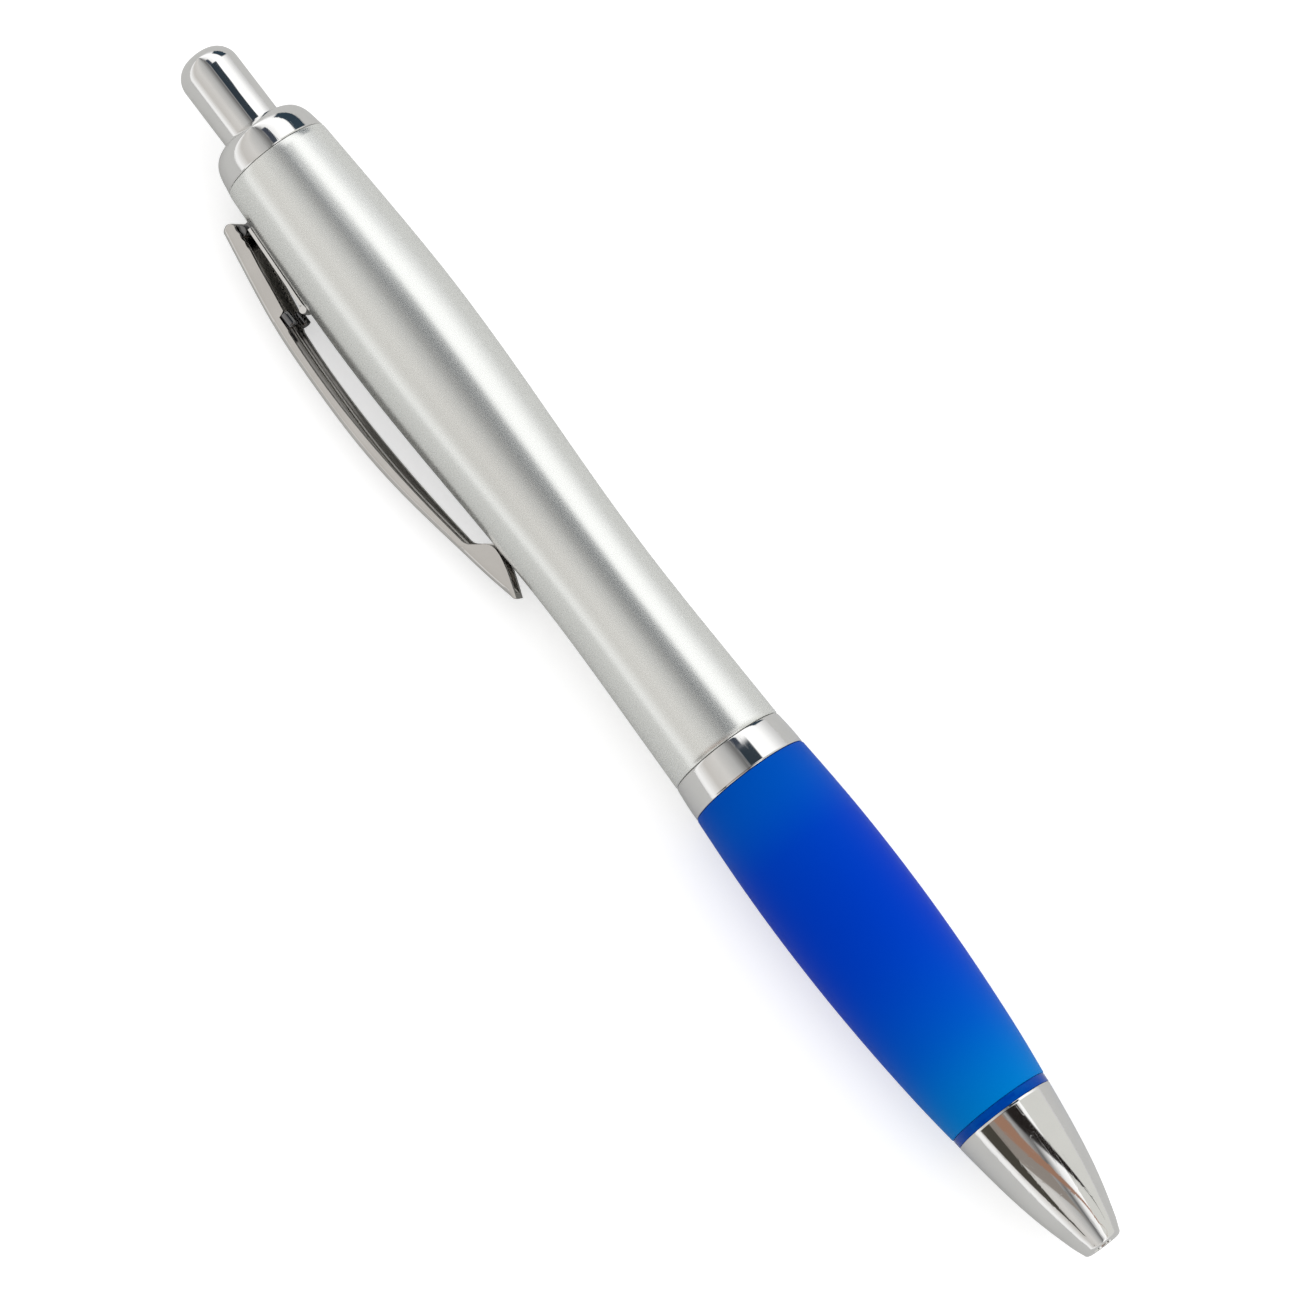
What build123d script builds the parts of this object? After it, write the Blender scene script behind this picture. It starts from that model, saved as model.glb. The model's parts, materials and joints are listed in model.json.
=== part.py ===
from build123d import *
from math import cos, radians, sin
import os

# Retractable ballpoint pen, lying on its side with its clip turned down to the table.
# +X runs from the push button to the point, +Z is up, z = 0 is the table, sizes in millimetres.

os.makedirs("parts", exist_ok=True)

# ---------------------------------------------------------------- driving dimensions

# Stations along the pen, from the button's apex to the nose.
button_apex = -70.0
collar_rear = -60.95
barrel_rear = -57.35
barrel_front = 12.85
ring_front = 16.35
lip_rear = 54.15
lip_front = 55.05
nose_front = 70.0

# How the pen lies: it rests on the grip's thickest place and on the clip's lower edge.
grip_max_radius = 6.65
axis_height = grip_max_radius
axis_y = 1.49
clip_drop = 29.14

# Outlines as (station, radius).
barrel_outline = [
    (barrel_rear, 5.50),
    (-47.35, 6.00),
    (-38.5, 6.28),
    (-26.0, 6.02),
    (-13.35, 5.48),
    (-5.0, 5.36),
    (5.0, 5.58),
    (barrel_front, 5.80),
]
grip_outline = [
    (ring_front, 6.08),
    (23.0, 6.48),
    (30.5, grip_max_radius),
    (38.25, 6.50),
    (46.5, 6.00),
    (50.65, 5.62),
    (lip_rear, 5.20),
]
nose_outline = [(lip_front, 5.10), (60.25, 4.39), (65.75, 3.26), (68.6, 2.43)]
clip_outside = [
    (-54.75, 7.95),
    (-50.15, 8.75),
    (-44.5, 9.57),
    (-38.0, 9.93),
    (-33.0, 10.02),
    (-27.0, 9.76),
    (-21.3, 9.07),
    (-17.4, 8.47),
    (-13.4, 7.83),
    (-11.15, 7.36),
]
nose_hole = 1.3

# Collar, rounded from its rim to a nearly straight band at the barrel's seam.
collar_rim_radius = 3.4
collar_shoulder = [(-60.5, 4.33), (-59.45, 5.04), (-58.2, 5.31)]
collar_seam_radius = 5.45

# Fits.
running = 0.07
face_gap = 0.02
cut_past = 0.6

# Button and plunger.
button_radius = 3.0
button_corner = 2.2
button_skirt_end = -57.6
button_skirt_relief = 0.2
button_wall = 0.8
button_stroke = 7.0
plunger_flange = 3.55
plunger_radius = 2.75
plunger_bore = 2.1
plunger_crown = -46.5

# Barrel bore and the cam mechanism in it.
barrel_bore = 4.3
guide_rear = -54.0
guide_front = -33.0
guide_bore = 3.75
stop_rear = -48.5
stop_front = -40.0
stop_radius = 2.95
stop_width = 30.0
rib_radius = 3.6
spline_length = 2.2
spline_width = 1.2
rotor_crown = plunger_crown + 0.1
rotor_body_end = -41.0
rotor_tail_radius = 1.7
rotor_tail_end = -39.4
rotor_rib_angle = -15.0
rotor_rib_width = 12.0
rib_count = 4
tooth_count = 8
tooth_depth = 1.2

# Refill, with its point drawn back into the nose.
refill_radius = 1.6
refill_bore = 1.25
plug_rear = rotor_tail_end + face_gap
tube_rear = -37.0
tube_front = 54.0
ear_station = 45.6
ear_radius = 2.35
ear_width = 1.4
ink_rear = -18.0
ink_channel = 0.3
socket_stem = 3.5
socket_shoulder = 58.0
socket_front = 62.0
tip_radius = 1.15
tip_stem = 0.8
tip_cone = 65.0
ball_radius = 0.35
ball_station = nose_front + 4.0 - button_stroke - ball_radius

# Return spring.
spring_wire = 0.17
spring_radius = 2.05
spring_turns = 9
spring_seat = 62.0

# Front section and its thread in the barrel.
sleeve_wall = 1.1
core_bore = 2.7
core_spigot = 4.3
core_spigot_end = 58.5
thread_pitch = 1.0
thread_rear = 6.4
thread_turns = 5
thread_depth = 0.4
thread_core = 4.2
thread_minor_radius = 4.35
thread_gap = 0.12
thread_half_root = 0.3
thread_half_crest = 0.1
thread_end = 11.7
spigot_radius = 4.65
ring_bore = 4.75
thread_relief = 5.8

# Clip.
clip_head = -55.3
clip_tip = -10.65
clip_width = 4.5
clip_tip_width = 1.9
clip_taper_start = -38.0
clip_taper_slope = 0.06
clip_gauge = 0.45
clip_edge = 0.5
ear_start = -45.35
ear_end = -43.85
ear_low = 7.4
beak_station = -15.4
beak_height = 5.58
fold_station = -54.1
fold_height = 6.55
fold_radius = 0.6
foot_width = 3.2
foot_gauge = 0.8
foot_leg_height = 4.4
foot_leg_top = 5.0
strap_end = -44.5
strap_rear_height = 5.75
strap_front_height = 6.27
strap_gauge = 0.45
strap_roll = 0.38

# ---------------------------------------------------------------- planes and helpers

axis_point = (0, axis_y, axis_height)
pen_axis = Axis(axis_point, (1, 0, 0))
drop = radians(clip_drop)
clip_plane = Plane(origin=axis_point, x_dir=(1, 0, 0), z_dir=(0, sin(drop), -cos(drop)))
plan_plane = Plane(origin=axis_point, x_dir=(1, 0, 0), z_dir=(0, -cos(drop), -sin(drop)))


def section_plane(angle):
    """A plane through the pen's axis with its second direction outwards at an angle round it."""
    turn = radians(angle)
    return Plane(origin=axis_point, x_dir=(1, 0, 0), z_dir=(0, -sin(turn), cos(turn)))


def wall(start, end, inner, outer):
    """A length of turned wall in the current sketch, between two stations and two radii."""
    with Locations(((start + end) / 2, (inner + outer) / 2)):
        Rectangle(end - start, outer - inner)


def radial_plane(angle):
    """A plane through the pen's axis that faces outwards at an angle round it."""
    turn = radians(angle)
    return Plane(origin=axis_point, x_dir=(1, 0, 0), z_dir=(0, cos(turn), sin(turn)))


def tooth_notch(crown, point):
    """One V between two crown teeth, from the crown's edge to the bottom of the V."""
    half_width = 0.85
    Polygon((crown, -half_width), (point, 0), (crown, half_width), align=None)


def thread_helix(start, turns):
    """A right-handed path for a thread, wound on the thread's root."""
    Helix(
        pitch=thread_pitch,
        height=thread_pitch * turns,
        radius=thread_core,
        center=(start, axis_y, axis_height),
        direction=(1, 0, 0),
    )


def helix_start_plane(path):
    """The plane across the start of a wound path, its second direction outwards."""
    edge = path.edges()[0]
    return Plane(origin=edge @ 0, x_dir=(1, 0, 0), z_dir=edge % 0)


def thread_tooth(half_root, height, half_crest):
    """The tapered section of one thread, with its foot sunk into the root."""
    Polygon((-half_root, -0.1), (half_root, -0.1), (half_crest, height), (-half_crest, height), align=None)


def plan_outline(half_width, half_tip_width, head, tip):
    """The clip seen from outside: parallel sides, then a long curve in to the beak."""
    with BuildSketch() as outline:
        with BuildLine():
            Line((head, half_width), (clip_taper_start, half_width))
            narrowing = Spline(
                (clip_taper_start, half_width),
                (tip, half_tip_width),
                tangents=[(1, 0), (1, -clip_taper_slope)],
            )
            Polyline(narrowing @ 1, (tip, 0), (head, 0), (head, half_width))
        make_face()
        mirror(about=Plane.XZ)
    return outline.sketch


def finish(piece, label):
    """Names a finished piece and writes it out."""
    piece.part.label = label
    export_step(piece.part, f"parts/{label}.step")


profile_plane = section_plane(90)

# ---------------------------------------------------------------- barrel and collar

with BuildPart() as thread_groove:
    with BuildLine() as groove_path:
        thread_helix(thread_rear - thread_pitch, thread_turns + 2)
    with BuildSketch(helix_start_plane(groove_path)):
        thread_tooth(thread_half_root + thread_gap, thread_depth + thread_gap, thread_half_crest + thread_gap)
    sweep(path=groove_path.edges()[0], is_frenet=True)

with BuildPart() as barrel:
    with BuildSketch(profile_plane):
        with BuildLine():
            outside = Spline(*barrel_outline)
            Polyline(outside @ 1, (barrel_front, barrel_bore), (barrel_rear, barrel_bore), outside @ 0)
        make_face()
    revolve(axis=pen_axis)
    # Bored for the front section's threaded spigot.
    with BuildSketch(profile_plane):
        wall(thread_relief, thread_end, barrel_bore - cut_past, thread_minor_radius)
        wall(thread_end, barrel_front, barrel_bore - cut_past, ring_bore)
    revolve(axis=pen_axis, mode=Mode.SUBTRACT)
    add(thread_groove.part, mode=Mode.SUBTRACT)
    # Slot that the clip's foot is pushed into from the top.
    with BuildSketch(clip_plane):
        wall(fold_station - foot_gauge / 2, fold_station + foot_gauge / 2, foot_leg_height, fold_height)
        wall(barrel_rear, fold_station + foot_gauge / 2, foot_leg_height - cut_past, foot_leg_top)
    extrude(amount=foot_width / 2, both=True, mode=Mode.SUBTRACT)
finish(barrel, "barrel")

with BuildPart() as top_collar:
    with BuildSketch(profile_plane):
        with BuildLine():
            Polyline((barrel_rear, collar_seam_radius), (barrel_rear, barrel_bore), (guide_rear, barrel_bore))
            Polyline((guide_rear, barrel_bore), (guide_rear, guide_bore), (button_skirt_end, guide_bore))
            Polyline(
                (button_skirt_end, guide_bore),
                (button_skirt_end, button_radius + running),
                (collar_rear, button_radius + running),
                (collar_rear, collar_rim_radius),
            )
            Spline((collar_rear, collar_rim_radius), *collar_shoulder, (barrel_rear, collar_seam_radius))
        make_face()
    revolve(axis=pen_axis)
finish(top_collar, "top_collar")

# ---------------------------------------------------------------- clip


with BuildPart() as clip_hollow:
    with BuildSketch(clip_plane):
        with BuildLine():
            inside = Spline(*[(station, height - clip_gauge) for station, height in clip_outside])
            Polyline(inside @ 1, (clip_tip - clip_gauge, 4), (clip_head + clip_gauge, 4), inside @ 0)
        make_face()
    extrude(amount=clip_width, both=True)
    with BuildSketch(plan_plane):
        add(
            plan_outline(
                clip_width / 2 - clip_gauge,
                clip_tip_width / 2 - clip_gauge,
                clip_head + clip_gauge,
                clip_tip - clip_gauge,
            )
        )
    extrude(amount=12, mode=Mode.INTERSECT)

with BuildPart() as clip_arm:
    with BuildSketch(clip_plane):
        with BuildLine():
            outer_edge = Spline(*clip_outside)
            ThreePointArc(outer_edge @ 1, (clip_tip, 7.02), (clip_tip - 0.4, 6.74))
            ThreePointArc((clip_tip - 0.4, 6.74), (-13.2, 6.05), (beak_station, beak_height))
            ThreePointArc((beak_station, beak_height), (-15.95, 5.68), (-16.25, 5.93))
            Polyline((-16.25, 5.93), (-17.4, 7.45), (-17.9, 7.66))
            Spline((-17.9, 7.66), (-21.2, 8.05), (-27.0, 8.58), (-34.5, 8.9), (-42.9, 8.62))
            Polyline((-42.9, 8.62), (ear_end + 0.1, 8.5), (ear_end, 7.8))
            ThreePointArc((ear_end, 7.8), ((ear_start + ear_end) / 2, ear_low), (ear_start, 7.8))
            Polyline((ear_start, 7.8), (-45.6, 7.72), (-47.4, 7.42), (-50.1, 7.04), (-52.4, 6.64))
            Polyline((-52.4, 6.64), (-54.7, 6.42), (clip_head, 6.75), (clip_head, 7.2))
            ThreePointArc((clip_head, 7.2), (clip_head + 0.1, 7.65), outer_edge @ 0)
        make_face()
    extrude(amount=clip_width / 2, both=True)
    with BuildSketch(plan_plane):
        add(plan_outline(clip_width / 2, clip_tip_width / 2, clip_head, clip_tip))
    extrude(amount=12, mode=Mode.INTERSECT)
    outer_faces = clip_arm.faces().filter_by(lambda face: face.normal_at().dot(plan_plane.z_dir) > 0.9)
    fillet(outer_faces.edges().filter_by(lambda edge: edge.length > 5), radius=clip_edge)
    # Folded from sheet, so it is open towards the barrel.
    add(clip_hollow.part, mode=Mode.SUBTRACT)
finish(clip_arm, "clip_arm")

with BuildPart() as clip_foot:
    with BuildSketch(clip_plane):
        foot_rear = fold_station - foot_gauge / 2
        foot_front = fold_station + foot_gauge / 2
        wall(foot_rear, foot_front, foot_leg_height, fold_height)
        wall(barrel_rear, foot_front, foot_leg_height, foot_leg_top)
        with Locations((fold_station, fold_height)):
            Circle(fold_radius)
        # Strap along the barrel under the deep part of the clip, with its end rolled over.
        Polygon(
            (fold_station, strap_rear_height),
            (strap_end, strap_front_height),
            (strap_end, strap_front_height + strap_gauge),
            (fold_station, strap_rear_height + strap_gauge),
            align=None,
        )
        with Locations((strap_end, strap_front_height + strap_gauge / 2 + 0.1)):
            Circle(strap_roll)
    extrude(amount=foot_width / 2, both=True)
finish(clip_foot, "clip_foot")

# ---------------------------------------------------------------- button and cam

with BuildPart() as push_button:
    with BuildSketch(profile_plane):
        with BuildLine():
            shoulder = button_apex + button_corner
            crown_edge = (button_apex + 0.12, button_radius - button_corner)
            ThreePointArc((button_apex, 0), (button_apex + 0.03, 0.4), crown_edge)
            JernArc(start=crown_edge, tangent=(0, 1), radius=button_corner, arc_size=-90)
            Polyline(
                (crown_edge[0] + button_corner, button_radius),
                (collar_rear - 0.1, button_radius),
                (collar_rear - 0.1, button_radius - button_skirt_relief),
                (button_skirt_end, button_radius - button_skirt_relief),
                (button_skirt_end, button_radius - button_wall),
                (shoulder, button_radius - button_wall),
                (shoulder, 0),
                (button_apex, 0),
            )
        make_face()
    revolve(axis=pen_axis)
finish(push_button, "push_button")

with BuildPart() as plunger:
    with BuildSketch(profile_plane):
        wall(button_apex + button_corner, button_skirt_end + face_gap, 0, button_radius - button_wall)
        wall(button_skirt_end + face_gap, button_skirt_end + 1.2, 0, plunger_flange)
        wall(button_skirt_end + 1.2, plunger_crown, 0, plunger_radius)
    revolve(axis=pen_axis)
    # Splines that keep it from turning in the guide's grooves.
    for index in range(rib_count):
        with BuildSketch(radial_plane(index * 360 / rib_count)):
            with Locations((plunger_crown - tooth_depth - spline_length / 2, 0)):
                Rectangle(spline_length, spline_width)
        extrude(amount=rib_radius)
    with BuildSketch(profile_plane):
        wall(button_skirt_end + 3, plunger_crown, 0, plunger_bore)
    revolve(axis=pen_axis, mode=Mode.SUBTRACT)
    for index in range(tooth_count):
        with BuildSketch(radial_plane((index + 0.5) * 360 / tooth_count)):
            tooth_notch(plunger_crown, plunger_crown - tooth_depth)
        extrude(amount=rib_radius + 1, mode=Mode.SUBTRACT)
finish(plunger, "plunger")

with BuildPart() as cam_guide:
    with BuildSketch(profile_plane):
        wall(guide_rear + face_gap, guide_front, guide_bore, barrel_bore)
    revolve(axis=pen_axis)
    # Stop ribs that the rotor's ribs run between, and land on when the point is out.
    for index in range(rib_count):
        rib_start = (index + 0.5) * 360 / rib_count - stop_width / 2
        with BuildSketch(section_plane(rib_start)):
            wall(stop_rear, stop_front, stop_radius, guide_bore + 0.1)
        revolve(axis=pen_axis, revolution_arc=stop_width)
finish(cam_guide, "cam_guide")

with BuildPart() as cam_rotor:
    with BuildSketch(profile_plane):
        wall(rotor_crown, rotor_body_end, 0, plunger_radius)
        wall(rotor_body_end, rotor_tail_end, 0, rotor_tail_radius)
    revolve(axis=pen_axis)
    with BuildSketch(profile_plane):
        wall(rotor_crown, rotor_body_end - 1.5, 0, plunger_bore)
    revolve(axis=pen_axis, mode=Mode.SUBTRACT)
    for index in range(tooth_count):
        with BuildSketch(radial_plane((index + 0.5) * 360 / tooth_count)):
            tooth_notch(rotor_crown, rotor_crown + tooth_depth)
        extrude(amount=rib_radius + 1, mode=Mode.SUBTRACT)
    for index in range(rib_count):
        rib_start = index * 360 / rib_count + rotor_rib_angle - rotor_rib_width / 2
        with BuildSketch(section_plane(rib_start)):
            wall(rotor_crown + tooth_depth, rotor_body_end - 0.8, plunger_radius - 0.3, rib_radius)
        revolve(axis=pen_axis, revolution_arc=rotor_rib_width)
finish(cam_rotor, "cam_rotor")

# ---------------------------------------------------------------- refill

with BuildPart() as end_plug:
    with BuildSketch(profile_plane):
        wall(plug_rear, tube_rear, 0, refill_radius)
        wall(tube_rear, tube_rear + 4, 0, refill_bore)
    revolve(axis=pen_axis)
    chamfer(end_plug.edges().sort_by(Axis.X)[0], length=0.4)
finish(end_plug, "end_plug")

with BuildPart() as refill_tube:
    with BuildSketch(profile_plane):
        wall(tube_rear, tube_front, refill_bore, refill_radius)
    revolve(axis=pen_axis)
    # Two crimped ears that the return spring pushes on.
    for angle in (0, 180):
        with BuildSketch(section_plane(angle)):
            wall(ear_station, ear_station + 0.8, refill_radius - 0.2, ear_radius)
        extrude(amount=ear_width / 2, both=True)
finish(refill_tube, "refill_tube")

with BuildPart() as ink_column:
    with BuildSketch(profile_plane):
        wall(ink_rear, tube_front - socket_stem, 0, refill_bore)
    revolve(axis=pen_axis)
finish(ink_column, "ink_column")

with BuildPart() as tip_socket:
    with BuildSketch(profile_plane):
        wall(tube_front - socket_stem, tube_front, ink_channel, refill_bore)
        with BuildLine():
            Polyline(
                (tube_front, ink_channel),
                (tube_front, refill_radius),
                (socket_shoulder, refill_radius),
                (socket_front, tip_radius),
                (socket_front, tip_stem),
                (socket_front - socket_stem, tip_stem),
                (socket_front - socket_stem, ink_channel),
                close=True,
            )
        make_face()
    revolve(axis=pen_axis)
finish(tip_socket, "tip_socket")

with BuildPart() as writing_tip:
    with BuildSketch(profile_plane):
        with BuildLine():
            Polyline(
                (socket_front - socket_stem, ink_channel),
                (socket_front - socket_stem, tip_stem),
                (socket_front, tip_stem),
                (socket_front, tip_radius),
                (tip_cone, tip_radius),
                (ball_station + 0.1, ball_radius + 0.07),
                (ball_station + 0.1, ball_radius + 0.01),
                (ball_station - ball_radius - 0.1, ball_radius + 0.01),
                (ball_station - ball_radius - 0.1, ink_channel),
                close=True,
            )
        make_face()
    revolve(axis=pen_axis)
finish(writing_tip, "writing_tip")

with BuildPart() as ball:
    with BuildSketch(profile_plane):
        with Locations((ball_station, 0)):
            Circle(ball_radius)
            Rectangle(2 * ball_radius, ball_radius, align=(Align.CENTER, Align.MAX), mode=Mode.SUBTRACT)
    revolve(axis=pen_axis)
finish(ball, "ball")

# ---------------------------------------------------------------- front section

with BuildPart() as centre_ring:
    with BuildSketch(profile_plane):
        with BuildLine():
            ring_start = barrel_front + face_gap
            ring_end = ring_front - face_gap
            Polyline((ring_start, ring_bore), (ring_start, 5.78))
            ThreePointArc((ring_start, 5.78), ((ring_start + ring_end) / 2, 5.97), (ring_end, 6.05))
            Polyline((ring_end, 6.05), (ring_end, ring_bore), (ring_start, ring_bore))
        make_face()
    revolve(axis=pen_axis)
finish(centre_ring, "centre_ring")

sleeve_inside = [(station, radius - sleeve_wall) for station, radius in grip_outline]

with BuildPart() as grip_sleeve:
    with BuildSketch(profile_plane):
        with BuildLine():
            sleeve_outer = Spline(*grip_outline)
            sleeve_inner = Spline(*sleeve_inside)
            Line(sleeve_outer @ 0, sleeve_inner @ 0)
            Line(sleeve_outer @ 1, sleeve_inner @ 1)
        make_face()
    revolve(axis=pen_axis)
finish(grip_sleeve, "grip_sleeve")

with BuildPart() as thread_ridge:
    with BuildLine() as ridge_path:
        thread_helix(thread_rear, thread_turns)
    with BuildSketch(helix_start_plane(ridge_path)):
        thread_tooth(thread_half_root, thread_depth, thread_half_crest)
    sweep(path=ridge_path.edges()[0], is_frenet=True)

with BuildPart() as front_core:
    with BuildSketch(profile_plane):
        with BuildLine():
            core_outside = Spline(*sleeve_inside)
            Polyline(
                core_outside @ 1,
                (lip_rear, grip_outline[-1][1] - 0.05),
                (lip_front, nose_outline[0][1]),
                (lip_front, core_spigot),
                (core_spigot_end, core_spigot),
                (core_spigot_end, core_bore),
                (thread_rear - 0.4, core_bore),
                (thread_rear - 0.4, thread_core),
                (thread_end + 0.2, thread_core),
                (thread_end + 0.2, spigot_radius),
                (ring_front, spigot_radius),
                core_outside @ 0,
            )
        make_face()
    revolve(axis=pen_axis)
    add(thread_ridge.part)
finish(front_core, "front_core")

with BuildPart() as nose_cone:
    with BuildSketch(profile_plane):
        with BuildLine():
            cone_outside = Spline(*nose_outline)
            Line(cone_outside @ 1, (nose_front - 0.35, 2.02))
            ThreePointArc((nose_front - 0.35, 2.02), (nose_front - 0.08, 1.85), (nose_front, 1.6))
            Polyline(
                (nose_front, 1.6),
                (nose_front, nose_hole),
                (nose_front - 1.4, nose_hole),
                (nose_front - 3.2, refill_radius + 0.15),
                (spring_seat, refill_radius + 0.15),
                (spring_seat, core_bore - 0.1),
                (core_spigot_end + 0.1, core_bore - 0.1),
                (core_spigot_end + 0.1, core_spigot),
                (lip_front, core_spigot),
                cone_outside @ 0,
            )
        make_face()
    revolve(axis=pen_axis)
finish(nose_cone, "nose_cone")

with BuildPart() as spring:
    spring_start = ear_station + 0.8 + spring_wire + face_gap
    spring_end = spring_seat - spring_wire - face_gap
    with BuildLine() as coil:
        Helix(
            pitch=(spring_end - spring_start) / spring_turns,
            height=spring_end - spring_start,
            radius=spring_radius,
            center=(spring_start, axis_y, axis_height),
            direction=(1, 0, 0),
        )
    with BuildSketch(helix_start_plane(coil)):
        Circle(spring_wire)
    sweep(path=coil.edges()[0], is_frenet=True)
finish(spring, "spring")
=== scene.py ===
import json
import math

import bmesh
import bpy
from mathutils import Matrix, Vector


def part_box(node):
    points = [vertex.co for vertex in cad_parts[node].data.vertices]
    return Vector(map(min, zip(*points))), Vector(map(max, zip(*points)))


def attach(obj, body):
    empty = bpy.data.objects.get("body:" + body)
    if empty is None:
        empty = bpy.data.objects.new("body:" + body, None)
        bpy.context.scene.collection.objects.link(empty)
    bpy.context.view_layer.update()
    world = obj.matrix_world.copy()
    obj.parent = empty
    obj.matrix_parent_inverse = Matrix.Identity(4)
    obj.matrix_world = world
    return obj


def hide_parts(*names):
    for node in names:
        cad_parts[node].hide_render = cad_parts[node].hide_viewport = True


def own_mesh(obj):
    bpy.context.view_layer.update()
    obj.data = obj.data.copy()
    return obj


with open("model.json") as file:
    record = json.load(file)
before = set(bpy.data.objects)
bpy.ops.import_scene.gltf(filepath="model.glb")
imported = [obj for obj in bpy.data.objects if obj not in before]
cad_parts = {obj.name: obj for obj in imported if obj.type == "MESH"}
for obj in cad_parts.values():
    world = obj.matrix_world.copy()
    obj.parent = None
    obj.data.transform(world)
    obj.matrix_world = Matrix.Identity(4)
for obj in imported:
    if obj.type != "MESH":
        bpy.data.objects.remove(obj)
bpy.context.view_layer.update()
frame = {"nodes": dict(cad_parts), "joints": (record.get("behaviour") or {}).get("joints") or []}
mm = 0.001

# the pen's own directions: along it, out towards the clip, and across the clip
buttonLow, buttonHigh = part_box("push_button")
penY = (buttonLow.y + buttonHigh.y) / 2
penZ = (buttonLow.z + buttonHigh.z) / 2
along = Vector((1, 0, 0))
flexJoint = [joint for joint in frame["joints"] if joint["name"] == "clip_flex"][0]
across = Vector(flexJoint["axis"]).normalized()
outward = across.cross(along).normalized()


def penPoint(x, side, out):
    # x from the middle of the pen, side across the clip, out towards it
    return Vector((x, penY, penZ)) + across * side + outward * out


def rearOf(node):
    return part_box(node)[0].x


def frontOf(node):
    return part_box(node)[1].x


# ---- shared shapes


def smoothCurve(points, count):
    # natural cubic through a few stations, so turned outlines have no corners
    n = len(points) - 1
    gaps = [points[i + 1][0] - points[i][0] for i in range(n)]
    slopes = [(points[i + 1][1] - points[i][1]) / gaps[i] for i in range(n)]
    diagonal = [1.0] * (n + 1)
    bends = [0.0] * (n + 1)
    for i in range(1, n):
        share = gaps[i - 1] / diagonal[i - 1] if i > 1 else 0.0
        diagonal[i] = 2 * (gaps[i - 1] + gaps[i]) - share * gaps[i - 1]
        bends[i] = 6 * (slopes[i] - slopes[i - 1]) - share * bends[i - 1]
    for i in range(n - 1, 0, -1):
        bends[i] = (bends[i] - gaps[i] * bends[i + 1]) / diagonal[i]
    curve = []
    for k in range(count + 1):
        x = points[0][0] + (points[-1][0] - points[0][0]) * k / count
        i = max(j for j in range(n) if points[j][0] <= x + 1e-12)
        a, b = points[i + 1][0] - x, x - points[i][0]
        h = gaps[i]
        y = (bends[i] * a**3 + bends[i + 1] * b**3) / (6 * h)
        y += (points[i][1] / h - bends[i] * h / 6) * a
        y += (points[i + 1][1] / h - bends[i + 1] * h / 6) * b
        curve.append((x, y))
    return curve


def smoothPath(points, count):
    # the same curve for outlines that stand upright somewhere, stepped by length
    run = [0.0]
    for a, b in zip(points, points[1:]):
        run.append(run[-1] + math.hypot(b[0] - a[0], b[1] - a[1]))
    first = smoothCurve([(t, p[0]) for t, p in zip(run, points)], count)
    second = smoothCurve([(t, p[1]) for t, p in zip(run, points)], count)
    return [(a[1], b[1]) for a, b in zip(first, second)]


def finishMesh(bm, name, sharpAngle=34):
    bmesh.ops.remove_doubles(bm, verts=bm.verts, dist=1e-7)
    bmesh.ops.recalc_face_normals(bm, faces=bm.faces)
    for face in bm.faces:
        face.smooth = True
    for edge in bm.edges:
        if len(edge.link_faces) == 2 and edge.calc_face_angle(0) > math.radians(sharpAngle):
            edge.smooth = False
    mesh = bpy.data.meshes.new(name)
    bm.to_mesh(mesh)
    bm.free()
    piece = bpy.data.objects.new(name, mesh)
    bpy.context.collection.objects.link(piece)
    return piece


def joinRings(bm, first, second):
    if len(first) == 1 and len(second) == 1:
        return
    count = max(len(first), len(second))
    for k in range(count):
        corners = [first[k % len(first)], first[(k + 1) % len(first)]]
        corners += [second[(k + 1) % len(second)], second[k % len(second)]]
        bm.faces.new(list(dict.fromkeys(corners)))


def turnedPiece(name, profile, sides=160, closed=True, wobble=None):
    # a lathe-turned piece; wobble(x, r, angle) adds to the radius, as a thread does
    bm = bmesh.new()
    rings = []
    for x, r in profile:
        ring = []
        for k in range(sides if r > 1e-7 else 1):
            angle = 2 * math.pi * k / sides
            radius = r + (wobble(x, r, angle) if wobble else 0)
            ring.append(bm.verts.new(penPoint(x, radius * math.sin(angle), radius * math.cos(angle))))
        rings.append(ring)
    for i in range(len(rings) - 1):
        joinRings(bm, rings[i], rings[i + 1])
    if closed:
        joinRings(bm, rings[-1], rings[0])
    return finishMesh(bm, name)


def rearEdge(x, r, edge, lift=0):
    # the rounded corner from a rear face out to the side of a turned piece
    return [(x, r - edge), (x + 0.3 * edge, r - 0.3 * edge), (x + edge, r + lift)]


def frontEdge(x, r, edge, lift=0):
    return [(x - edge, r + lift), (x - 0.3 * edge, r - 0.3 * edge), (x, r - edge)]


def circlePoints(x, y, radius, count):
    # a full circle as points, starting from its lowest one
    turns = [2 * math.pi * k / count for k in range(count)]
    return [(x + radius * math.sin(turn), y - radius * math.cos(turn)) for turn in turns]


def bevelEdges(piece, name, width, segments, angle):
    bevel = piece.modifiers.new(name, "BEVEL")
    bevel.width = width * mm
    bevel.segments = segments
    bevel.limit_method = "ANGLE"
    bevel.angle_limit = math.radians(angle)
    bevel.harden_normals = True


def placePiece(piece, body, material, slotName, *nodes):
    piece.data.materials.append(material)
    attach(piece, body)
    if nodes:
        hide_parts(*nodes)
    return piece


# ---- shared surface effects


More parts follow.
